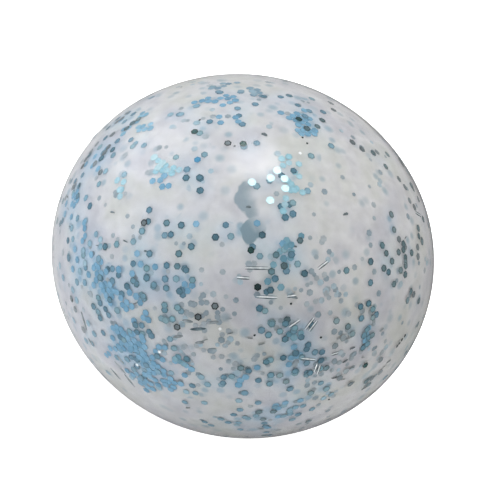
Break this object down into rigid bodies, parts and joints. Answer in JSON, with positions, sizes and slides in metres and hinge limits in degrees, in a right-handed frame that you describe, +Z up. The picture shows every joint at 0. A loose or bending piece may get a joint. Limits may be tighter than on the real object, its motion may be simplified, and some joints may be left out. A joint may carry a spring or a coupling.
{
  "type": "squishy ball",
  "caption": "Clear soft squeeze ball filled with milky gel, with drifts of blue hexagonal glitter against the skin; it flattens when pressed and springs back.",
  "frame": {"origin": "middle of the flat patch that the ball rests on", "axes": "+Z up through the fill plug and the crown, -Y towards the viewer of the picture, +X to the viewer's right"},
  "size_m": [0.075, 0.075, 0.0692],
  "materials": {
    "clear_skin": "clear, glossy",
    "plug_rubber": "cloudy, satin",
    "milky_gel": "milky, mottled",
    "glitter": "metallised foil"
  },
  "bodies": {
    "base": {"skin_base": "clear_skin", "fill_plug": "plug_rubber", "milky_filling": "milky_gel", "flakes_lower_belt_front": "glitter", "flakes_lower_belt_right": "glitter", "flakes_lower_belt_back": "glitter", "flakes_lower_belt_left": "glitter", "flakes_foot_front": "glitter", "flakes_foot_right": "glitter", "flakes_foot_back": "glitter", "flakes_foot_left": "glitter"},
    "crown": {"skin_crown": "clear_skin", "flakes_crown": "glitter", "flakes_shoulder_front": "glitter", "flakes_shoulder_right": "glitter", "flakes_shoulder_back": "glitter", "flakes_shoulder_left": "glitter", "flakes_upper_belt_front": "glitter", "flakes_upper_belt_right": "glitter", "flakes_upper_belt_back": "glitter", "flakes_upper_belt_left": "glitter"}
  },
  "joints": [
    {"name": "squeeze", "type": "slide", "parent": "base", "child": "crown", "axis": [0, 0, -1], "range_m": [0, 0.028], "stiffness_N_per_m": 800, "deforming": ["skin_base", "skin_crown", "milky_filling", "flakes_crown", "flakes_shoulder_front", "flakes_shoulder_right", "flakes_shoulder_back", "flakes_shoulder_left", "flakes_upper_belt_front", "flakes_upper_belt_right", "flakes_upper_belt_back", "flakes_upper_belt_left", "flakes_lower_belt_front", "flakes_lower_belt_right", "flakes_lower_belt_back", "flakes_lower_belt_left", "flakes_foot_front", "flakes_foot_right", "flakes_foot_back", "flakes_foot_left"]}
  ]
}
